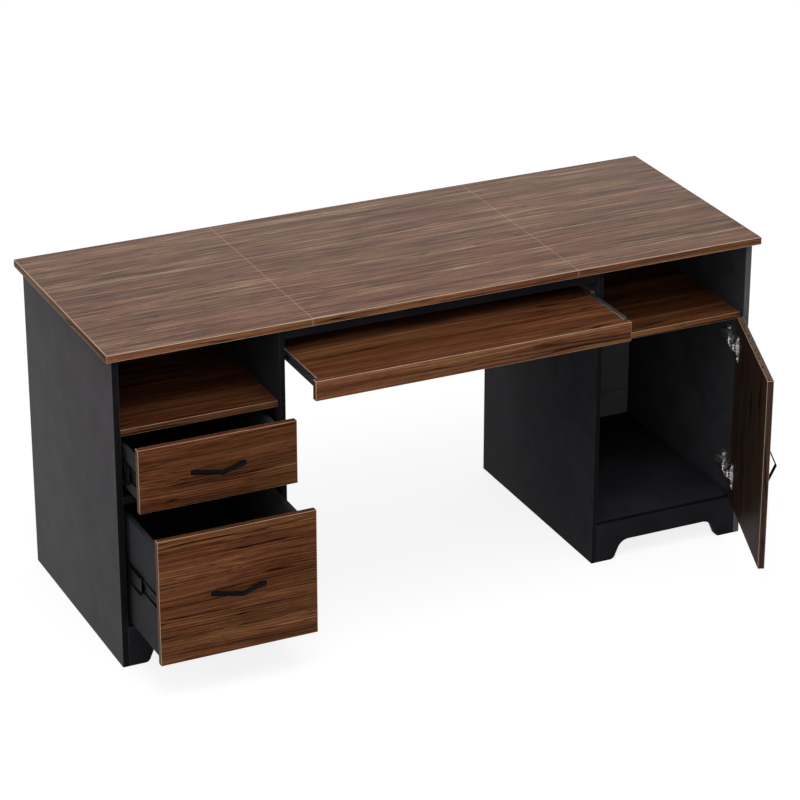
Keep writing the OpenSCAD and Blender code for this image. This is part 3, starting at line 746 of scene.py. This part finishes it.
@dataclass
class Screws:
    """A node's screws, their heads eased at the rim and cut with a tapered cross recess."""

    node: str
    body: str
    slot: Slot
    finish: Finish
    rim_mm: float = 0.3
    span_share: float = 0.62
    foot_share: float = 0.45
    depth_mm: float = 1.6
    proud_mm: float = 0.1
    top_share: float = 0.9

    def build(self) -> None:
        """Cuts one recess, repeated on every head, and hands the screws in."""
        piece = node_copy(self.node)
        piece.data.materials.append(self.finish)
        heads = self._heads(piece)
        self._ease_rims(piece, heads)
        cutter = self._cutter(heads[0][2] * self.span_share)
        placed = []
        for centre, out, _ in heads:
            only(cutter)
            bpy.ops.object.duplicate(linked=False)
            twin = bpy.context.object
            twin.location = centre
            twin.rotation_euler = out.to_track_quat("Z", "Y").to_euler()
            placed.append(twin)
        only(cutter)
        bpy.ops.object.delete()
        self._cut(piece, placed)
        smooth(piece, SCREW_SMOOTH_DEG)
        hand_in(piece, self.body, self.node)

    def _heads(self, piece: Piece) -> list[Head]:
        """Finds the screws' heads, whose flat tops are the largest faces.

        Args:
            piece: The screws.

        Returns:
            The heads.
        """
        most = max(p.area for p in piece.data.polygons)
        tops = [p for p in piece.data.polygons if p.area > self.top_share * most]
        return [
            (p.center.copy(), p.normal.copy(), 2 * math.sqrt(p.area / math.pi)) for p in tops]

    def _ease_rims(self, piece: Piece, heads: list[Head]) -> None:
        """Rounds the heads' rims.

        Args:
            piece: The screws.
            heads: Their heads.
        """
        def chosen(edge: Edge) -> bool:
            """Tells whether an edge lies round the top of a head."""
            return any(
                all(abs((v.co - centre).dot(out)) < TOP_NEAR_MM * MM
                    and (v.co - centre).length < width for v in edge.verts)
                for centre, out, width in heads)

        bevel_edges(piece, chosen, self.rim_mm, segments=3)

    def _cutter(self, span: float) -> Piece:
        """Makes the cross that cuts a recess, its mouth just proud of the head.

        Args:
            span: The cross's width from tip to tip.

        Returns:
            The cutter.
        """
        bpy.ops.object.select_all(action="DESELECT")
        bpy.ops.mesh.primitive_grid_add(
            x_subdivisions=3, y_subdivisions=3, size=span, location=(0.0, 0.0, 0.0))
        cutter = bpy.context.object
        cutter.name = f"{self.node}_recess"
        bpy.ops.object.mode_set(mode="EDIT")
        bpy.ops.mesh.select_mode(type="FACE")
        mesh = bmesh.from_edit_mesh(cutter.data)
        # The four corner cells go, and a cross of five stays.
        for face in mesh.faces:
            middle = face.calc_center_median()
            face.select_set(min(abs(middle.x), abs(middle.y)) > span / 6)
        bmesh.update_edit_mesh(cutter.data)
        bpy.ops.mesh.delete(type="FACE")
        bpy.ops.mesh.select_all(action="SELECT")
        bpy.ops.transform.translate(value=(0.0, 0.0, self.proud_mm * MM))
        bpy.ops.mesh.extrude_region_move(
            TRANSFORM_OT_translate={
                "value": (0.0, 0.0, -(self.depth_mm + self.proud_mm) * MM)})
        bpy.ops.transform.resize(
            value=(self.foot_share, self.foot_share, 1.0), center_override=(0.0, 0.0, 0.0))
        bpy.ops.mesh.select_all(action="SELECT")
        bpy.ops.mesh.normals_make_consistent(inside=False)
        bpy.ops.object.mode_set(mode="OBJECT")
        return cutter

    @staticmethod
    def _cut(piece: Piece, cutters: list[Piece]) -> None:
        """Takes the cutters out of the screws and clears them away.

        Args:
            piece: The screws.
            cutters: One cross on each head.
        """
        only(cutters[0])
        for cutter in cutters:
            cutter.select_set(True)
        if len(cutters) > 1:
            bpy.ops.object.join()
        cross = cutters[0]
        only(piece)
        bpy.ops.object.modifier_add(type="BOOLEAN")
        cut = piece.modifiers[-1]
        cut.operation = "DIFFERENCE"
        cut.object = cross
        bpy.ops.object.modifier_apply(modifier=cut.name)
        only(cross)
        bpy.ops.object.delete()


@dataclass
class Finishes:
    """All the desk's finishes, made once."""

    def __post_init__(self) -> None:
        """Builds the materials."""
        # Fine long streaks in soft brown, paler towards the far edge where the room lies on them.
        self.top = WalnutLaminate(
            "walnut_laminate_worktop", TOP_WALNUT, streak_mm=(230.0, 4.6), band_mm=(900.0, 40.0),
            line_mm=(260.0, 8.0), blush_mm=(420.0, 70.0), sway_mm=8.0, contrast=1.6,
            band_share=0.2, ring="#94806F", pale_line_mm=81.0, roughness=0.4, ior=1.28).material()
        # A warm stripe under the worktop's pale arris, with the decor's streaks drawn lengthwise.
        self.top_band = WalnutLaminate(
            "walnut_edge_band_long", EDGE_WALNUT, shift_mm=(90.0, 20.0, 40.0)).material()
        # The same band on the short ends, a tone deeper as painted shade, its streaks running
        # front to back.
        self.top_end_band = WalnutLaminate(
            "walnut_edge_band_end_painted_shade", END_EDGE_PAINTED_SHADE_WALNUT, Grain.TO_BACK).material()
        # Red-brown with fine near-black lines drawn out along the board: the liveliest faces.
        fine: dict[str, Any] = {
            "streak_mm": (560.0, 3.0), "line_mm": (760.0, 6.5), "band_share": 0.34,
            "contrast": 1.12, "ring": "#66544A"}
        self.upper_front = WalnutLaminate(
            "walnut_laminate_upper_front", FRONT_WALNUT, shift_mm=(120.0, 0.0, 980.0),
            sway_mm=11.0, **fine).material()
        self.file_front = WalnutLaminate(
            "walnut_laminate_file_front", FRONT_WALNUT, shift_mm=(-330.0, 0.0, 215.0),
            sway_mm=12.0, **fine).material()
        # The fronts' brown on a calm face that catches the room from above.
        self.tray = WalnutLaminate(
            "walnut_laminate_keyboard_shelf", FRONT_WALNUT,
            shift_mm=(510.0, 70.0, 15.0)).material()
        # A lighter brown along the shelf's front, so that its two pale arrises, painted
        # highlights, stand out.
        self.strip = WalnutLaminate(
            "walnut_laminate_front_strip", EDGE_WALNUT, shift_mm=(240.0, 40.0, 15.0)).material()
        # Walnut that sinks to a deep brown inside the niches.
        self.shelf = WalnutLaminate(
            "walnut_laminate_niche_shelves", FRONT_WALNUT,
            shift_mm=(-40.0, 150.0, 90.0)).material()
        # The fronts' brown turned upright on the door's outer face.
        self.door = WalnutLaminate(
            "walnut_laminate_door", FRONT_WALNUT, Grain.UPRIGHT, shift_mm=(60.0, 30.0, 0.0),
            sway_mm=10.0).material()
        # Painted shade on the door's inner face: a brown near black, its upright streaks just
        # readable.
        self.door_back = WalnutLaminate(
            "walnut_laminate_door_back_painted_shade", SHADED_WALNUT, Grain.UPRIGHT, contrast=0.8,
            ior=1.06).material()
        # A dim grey-brown edge that parts the door's two dark faces, its grey a painted sheen.
        self.door_edge = WalnutLaminate(
            "walnut_edge_band_door", DOOR_EDGE_PAINTED_SHEEN_WALNUT, Grain.UPRIGHT, contrast=0.8).material()
        # The same edge turned from the light on the door's free end, a good deal darker.
        self.door_end = WalnutLaminate(
            "walnut_edge_band_door_end", DOOR_END_WALNUT, Grain.UPRIGHT, contrast=0.8).material()
        # An orange-brown line, paler than the other bands with painted light, that lights up the
        # niches' dark mouths.
        self.shelf_band = WalnutLaminate(
            "walnut_edge_band_shelves_painted_light", SHELF_EDGE_PAINTED_LIGHT_WALNUT,
            shift_mm=(700.0, 0.0, 130.0)).material()
        # Short upright streaks on the ends of the fronts and of the shelf's strip, a tone deeper
        # as painted shade.
        self.upright_band = WalnutLaminate(
            "walnut_edge_band_upright_painted_shade", END_EDGE_PAINTED_SHADE_WALNUT, Grain.UPRIGHT).material()
        # The band's broken arris in a pale tone, a painted highlight: a thin pale line that
        # outlines every walnut board.
        self.pale_arris = PlainLaminate(
            "edge_band_arris_painted_highlight", "#A68A76", "#BC9E88", roughness=0.38, ior=1.2).material()
        # Painted light: the black board in a matt dark grey, hardly clouded, on the two big outer
        # faces, as if lit from the left.
        self.charcoal = PlainLaminate(
            "black_melamine_outer_faces_painted_light", "#464446", "#4C4A4C").material()
        # A grey a touch glossier than the outer faces, painted light on black bands: a glancing
        # light on the right one's front edge, a highlight on both arrises.
        self.painted_light_band = PlainLaminate(
            "grey_edge_band_painted_light", "#4E4D4F", "#555456", roughness=0.42, ior=1.12).material()
        # Thin board with a rolled lacquer: the back, a shade below the outer faces.
        self.hardboard = PlainLaminate(
            "charcoal_lacquered_back_panels", "#3E3D40", "#464549").material()
        # The back's inner face: a grey lifted with painted light, so that it still reads at the
        # end of the cupboard.
        self.hardboard_inner = PlainLaminate(
            "hardboard_inner_faces_painted_light", "#605F63", "#68676B").material()
        # Painted light: the black lifted where the floor's light reaches it, on the knee faces and
        # the cupboard's floor.
        self.black_lit = PlainLaminate(
            "black_melamine_painted_light_faces", "#252428", "#2C2B2F").material()
        # A soft black that swallows the front boards and still shows each one's turn.
        self.black = PlainLaminate("black_melamine_boards", "#1D1C1F", "#232225").material()
        # The outer sides' inner faces, lifted a little with painted light so that the cupboard
        # keeps its depth.
        self.black_inner = PlainLaminate(
            "black_melamine_inner_faces_painted_light", "#2F2E31", "#363539").material()
        # The deepest black, on the front edges of the left outer side and the inner boards.
        self.black_band = PlainLaminate(
            "black_edge_band", "#151416", "#19181A", roughness=0.42).material()
        # A thin grey painted highlight where two black faces meet.
        self.black_arris = PlainLaminate(
            "black_edge_band_arris_painted_highlight", "#27262A", "#2E2D31", roughness=0.4, ior=1.1).material()
        # Blue-grey near black, lighter than the carcass beside it.
        self.drawer = PlainLaminate("charcoal_melamine_boxes", "#2E2E31", "#343437").material()
        # Smooth lacquer over a coarser board, with a wider gleam than the boxes' sides.
        self.bottom = PlainLaminate(
            "lacquered_hardboard_bottoms", "#1D1C1E", "#242325", roughness=0.4,
            pearl_mm=2.2).material()
        # The darkest line on each front, with a soft highlight along its bend.
        self.pull = PowderCoat("powder_coated_steel_pulls", "#060607", "#0C0C0D").material()
        # Bright silver ends that flash where the shelf leaves the pedestals.
        self.slide = PlatedSteel(
            "zinc_plated_steel_slides", "#E6E5E6", "#C9CACC", 0.36).material()
        # Dull dark rails that let the shelf's pale arris, a painted highlight, stand out beside
        # them.
        self.shelf_rail = PlatedSteel(
            "dark_zinc_plated_steel_rails", "#8C8C8F", "#6A6A6D", 0.4).material()
        # Rails that stay black in the gap, with one dull gleam along their lips.
        self.dark_slide = PowderCoat(
            "black_dip_coated_steel_slides", "#0A0A0B", "#131315", peel_mm=2.4).material()
        # Near-white metal, the brightest spots on the dark door.
        self.hinge = PlatedSteel(
            "nickel_plated_steel_hinges", "#F6F4F2", "#E4E2E0", 0.34, Grain.UPRIGHT).material()
        # Duller and greyer than the hinges, so that the heads read on them.
        self.screw = PlatedSteel(
            "zinc_plated_screws", "#B9BCBF", "#9EA1A5", 0.3, Grain.UPRIGHT).material()
        # Dark heads with a small sheen at the feet of the pulls.
        self.dark_screw = PlatedSteel(
            "black_oxide_screws", "#2C2B2B", "#1E1D1D", 0.38, Grain.UPRIGHT).material()


@dataclass
class Worktop:
    """The three walnut panels, butted at two seams, with eased edges and pale arrises."""

    finishes: Finishes
    arris_mm: float = 0.5

    def build(self) -> None:
        """Redraws the three panels."""
        look = self.finishes
        for part in ("left", "middle", "right"):
            Board(
                f"top_{part}_panel", "carcass", Slot.WORKTOP, look.top, look.top_band,
                look.pale_arris, self.arris_mm, end_band=look.top_end_band).build()


@dataclass
class Carcass:
    """Both pedestals, the rail over the knees and the modesty panel, in black boards."""

    finishes: Finishes
    arris_mm: float = 0.5
    shelf_arris_mm: float = 0.7
    apron_arris_mm: float = 0.6

    def build(self) -> None:
        """Redraws the boards, the shelves in walnut and the rest in black."""
        look = self.finishes
        for side in ("left", "right"):
            # One black board in lit and shaded copies: painted light on the outer faces, the knee
            # faces, the inner faces and the right side's front edge.
            outer = {"face": look.charcoal, "band": look.black_band, "back": look.black_inner}
            inner = {"face": look.black, "back": look.black_lit}
            if side == "right":
                outer = {
                    "face": look.black_inner, "band": look.painted_light_band, "back": look.charcoal}
                inner = {"face": look.black_lit, "back": look.black}
            Board(
                f"{side}_outer_side", "carcass", Slot.CARCASS, arris=look.painted_light_band,
                arris_mm=self.arris_mm, **outer).build()
            Board(
                f"{side}_inner_side", "carcass", Slot.CARCASS, band=look.black_band,
                arris=look.black_arris, arris_mm=self.arris_mm, **inner).build()
            for part in ("back_panel", "rear_rail"):
                Board(
                    f"{side}_{part}", "carcass", Slot.CARCASS, look.hardboard_inner,
                    look.black_band, look.black_arris, self.arris_mm,
                    back=look.hardboard).build()
            Board(
                f"{side}_floor_panel", "carcass", Slot.CARCASS, look.black_lit, look.black_band,
                look.black_arris, self.arris_mm).build()
            Board(
                f"{side}_niche_shelf", "carcass", Slot.FRONT, look.shelf, look.shelf_band,
                look.pale_arris, self.shelf_arris_mm).build()
            Board(
                f"{side}_front_apron", "carcass", Slot.CARCASS, look.black, look.black_band,
                look.black_arris, self.apron_arris_mm, cut=Cut.ALL_SHARP).build()
        for part in ("left_drawer_rail", "knee_front_rail", "modesty_panel"):
            Board(
                part, "carcass", Slot.CARCASS, look.black, look.black_band, look.black_arris,
                self.arris_mm).build()


@dataclass
class Drawer:
    """One drawer: its walnut front, charcoal box, bottom, pull, screws and slide members."""

    finishes: Finishes
    name: str
    front: Finish
    front_arris_mm: float = 0.8
    box_arris_mm: float = 0.5
    bottom_arris_mm: float = 0.3

    def build(self) -> None:
        """Redraws the drawer's boards and finishes its metal."""
        look = self.finishes
        body = f"{self.name}_drawer"
        Board(
            f"{body}_front", body, Slot.FRONT, self.front, self.front, look.pale_arris,
            self.front_arris_mm, end_band=look.upright_band).build()
        for part in ("left_side", "right_side", "back"):
            Board(
                f"{body}_{part}", body, Slot.DRAWER, look.drawer, look.drawer, look.black_arris,
                self.box_arris_mm).build()
        Board(
            f"{body}_bottom", body, Slot.DRAWER, look.bottom, look.bottom, look.bottom,
            self.bottom_arris_mm).build()
        Fitting(f"{body}_pull", body, Slot.PULL, look.pull).build()
        Screws(f"{self.name}_pull_screws", body, Slot.DARK_STEEL, look.dark_screw).build()
        for part in ("cabinet", "middle", "drawer"):
            finish_packed(f"{self.name}_slide_{part}_members", look.dark_slide)


@dataclass
class KeyboardShelf:
    """The sliding shelf between the pedestals, with its front strip and slides."""

    finishes: Finishes
    board_arris_mm: float = 1.1
    strip_arris_mm: float = 0.9

    def build(self) -> None:
        """Redraws the board and the strip and finishes the slides."""
        look = self.finishes
        body = "keyboard_tray"
        Board(
            "tray_board", body, Slot.FRONT, look.tray, look.black_band, look.pale_arris,
            self.board_arris_mm, butted=-1).build()
        Board(
            "tray_front_strip", body, Slot.FRONT, look.strip, look.tray, look.pale_arris,
            self.strip_arris_mm, end_band=look.upright_band, butted=1).build()
        for part, finish in (("cabinet", look.slide), ("shelf", look.shelf_rail)):
            finish_packed(f"tray_slide_{part}_members", finish)


@dataclass
class Door:
    """The cupboard door with its pull, and the cup hinges that carry it."""

    finishes: Finishes
    arris_mm: float = 0.8

    @property
    def open_deg(self) -> float:
        """How far the door stands open at rest, from the hinge's own range."""
        hinge = next(j for j in frame["joints"] if j["name"] == "door_hinge")
        return -hinge["range_deg"][0]

    def build(self) -> None:
        """Redraws the door and finishes its metal."""
        look = self.finishes
        Board(
            "door_panel", "door", Slot.FRONT, look.door, look.door_edge, look.pale_arris,
            self.arris_mm, turn_deg=self.open_deg, end_band=look.door_end,
            back=look.door_back).build()
        Fitting("door_pull", "door", Slot.PULL, look.pull).build()
        Screws("door_pull_screws", "door", Slot.DARK_STEEL, look.dark_screw).build()
        for part in ("hinge_cups", "hinge_links", "hinge_arms", "hinge_mounting_plates"):
            finish_packed(part, look.hinge)
        Screws("hinge_cup_screws", "door", Slot.STEEL, look.screw).build()
        Screws("hinge_plate_screws", "carcass", Slot.STEEL, look.screw).build()


@dataclass(frozen=True)
class Studio:
    """A white sweep under soft lamps, and the camera where the photographer stood."""

    camera_at: tuple[float, float, float] = (-2.854, -6.142, 3.472)
    yaw_deg: float = 25.1
    down_deg: float = 24.54
    focal_px: float = 3200.0
    picture_px: float = 800.0
    sensor_mm: float = 36.0
    floor_size: float = 40.0
    floor_gap_mm: float = 0.3
    world_strength: float = 0.56
    floor_glow: float = 0.84
    lamps_aim: tuple[float, float, float] = (0.0, 0.0, 0.45)

    def build(self) -> None:
        """Makes the camera, the floor, the world and the lamps."""
        bpy.context.scene.view_settings.view_transform = "Standard"
        self._camera()
        self._floor()
        self._world()
        self._lamp("overhead", at=(-0.4, -1.8, 4.2), size=3.0, watts=82.0)
        self._lamp("left", at=(-4.2, -1.2, 1.8), size=2.4, watts=26.0)
        self._lamp("fill", at=(-2.6, -4.8, 1.0), size=2.0, watts=26.0)

    def _camera(self) -> None:
        """Places the camera, level across and turned down towards the desk."""
        data = bpy.data.cameras.new("camera")
        data.sensor_width = self.sensor_mm
        data.lens = self.sensor_mm * self.focal_px / self.picture_px
        camera = bpy.data.objects.new("camera", data)
        bpy.context.scene.collection.objects.link(camera)
        camera.location = self.camera_at
        camera.rotation_euler = (
            math.radians(90 - self.down_deg), 0.0, math.radians(-self.yaw_deg))
        bpy.context.scene.camera = camera

    @staticmethod
    def _seen(tree: Tree) -> Socket:
        """Adds a value that is 1 for what the camera sees, straight or in a reflection.

        Args:
            tree: The tree that takes the nodes.

        Returns:
            The value.
        """
        path = add_node(tree, "ShaderNodeLightPath").outputs
        either = add_node(
            tree, "ShaderNodeMath", {"operation": "MAXIMUM"},
            {0: path["Is Camera Ray"], 1: path["Is Glossy Ray"]})
        seen = add_node(
            tree, "ShaderNodeMath", {"operation": "MAXIMUM"},
            {0: either.outputs[0], 1: path["Is Transmission Ray"]})
        return seen.outputs[0]

    def _floor(self) -> None:
        """Lays a plain pale floor that looks white and keeps the desk's shadow."""
        bpy.ops.object.select_all(action="DESELECT")
        bpy.ops.mesh.primitive_plane_add(
            size=self.floor_size, location=(0.0, 0.0, -self.floor_gap_mm * MM))
        floor = bpy.context.object
        floor.name = "studio_floor"
        material, tree = new_material("white_sweep")
        paint = add_node(tree, "ShaderNodeBsdfDiffuse", {"Color": linear("#D8D8D8")})
        seen_paint = add_node(tree, "ShaderNodeBsdfDiffuse", {"Color": linear("#8C8C8C")})
        glow = add_node(tree, "ShaderNodeEmission", {"Strength": self.floor_glow})
        lit = add_node(
            tree, "ShaderNodeAddShader", links={0: seen_paint.outputs[0], 1: glow.outputs[0]})
        both = add_node(
            tree, "ShaderNodeMixShader",
            links={0: self._seen(tree), 1: paint.outputs[0], 2: lit.outputs[0]})
        add_node(tree, "ShaderNodeOutputMaterial", links={"Surface": both.outputs[0]})
        floor.data.materials.append(material)

    def _world(self) -> None:
        """Makes the white room: plain white to the eye, softer as light."""
        world = bpy.data.worlds.new("white_room")
        bpy.context.scene.world = world
        world.use_nodes = True
        tree = world.node_tree
        tree.nodes.clear()
        light = add_node(
            tree, "ShaderNodeBackground",
            {"Color": linear("#FFFFFF"), "Strength": self.world_strength})
        sight = add_node(
            tree, "ShaderNodeBackground", {"Color": linear("#FFFFFF"), "Strength": 1.0})
        both = add_node(
            tree, "ShaderNodeMixShader",
            links={0: self._seen(tree), 1: light.outputs[0], 2: sight.outputs[0]})
        add_node(tree, "ShaderNodeOutputWorld", links={"Surface": both.outputs[0]})

    def _lamp(self, name: str, at: tuple[float, float, float], size: float, watts: float) -> None:
        """Hangs a square soft lamp that looks at the desk's middle.

        Args:
            name: The lamp's name.
            at: Where it hangs.
            size: The length of its sides.
            watts: Its power.
        """
        data = bpy.data.lights.new(f"{name}_lamp", "AREA")
        data.size = size
        data.energy = watts
        lamp = bpy.data.objects.new(f"{name}_lamp", data)
        bpy.context.scene.collection.objects.link(lamp)
        lamp.location = at
        aim = Vector(self.lamps_aim) - Vector(at)
        lamp.rotation_euler = aim.to_track_quat("-Z", "Y").to_euler()


def main() -> None:
    """Builds the desk's looks, part by part, and the studio round it."""
    logging.basicConfig(level=logging.INFO, format="%(name)s: %(message)s")
    finishes = Finishes()
    Studio().build()
    Worktop(finishes).build()
    Carcass(finishes).build()
    Drawer(finishes, "upper", finishes.upper_front).build()
    Drawer(finishes, "file", finishes.file_front).build()
    KeyboardShelf(finishes).build()
    Door(finishes).build()


if __name__ == "__main__":
    main()
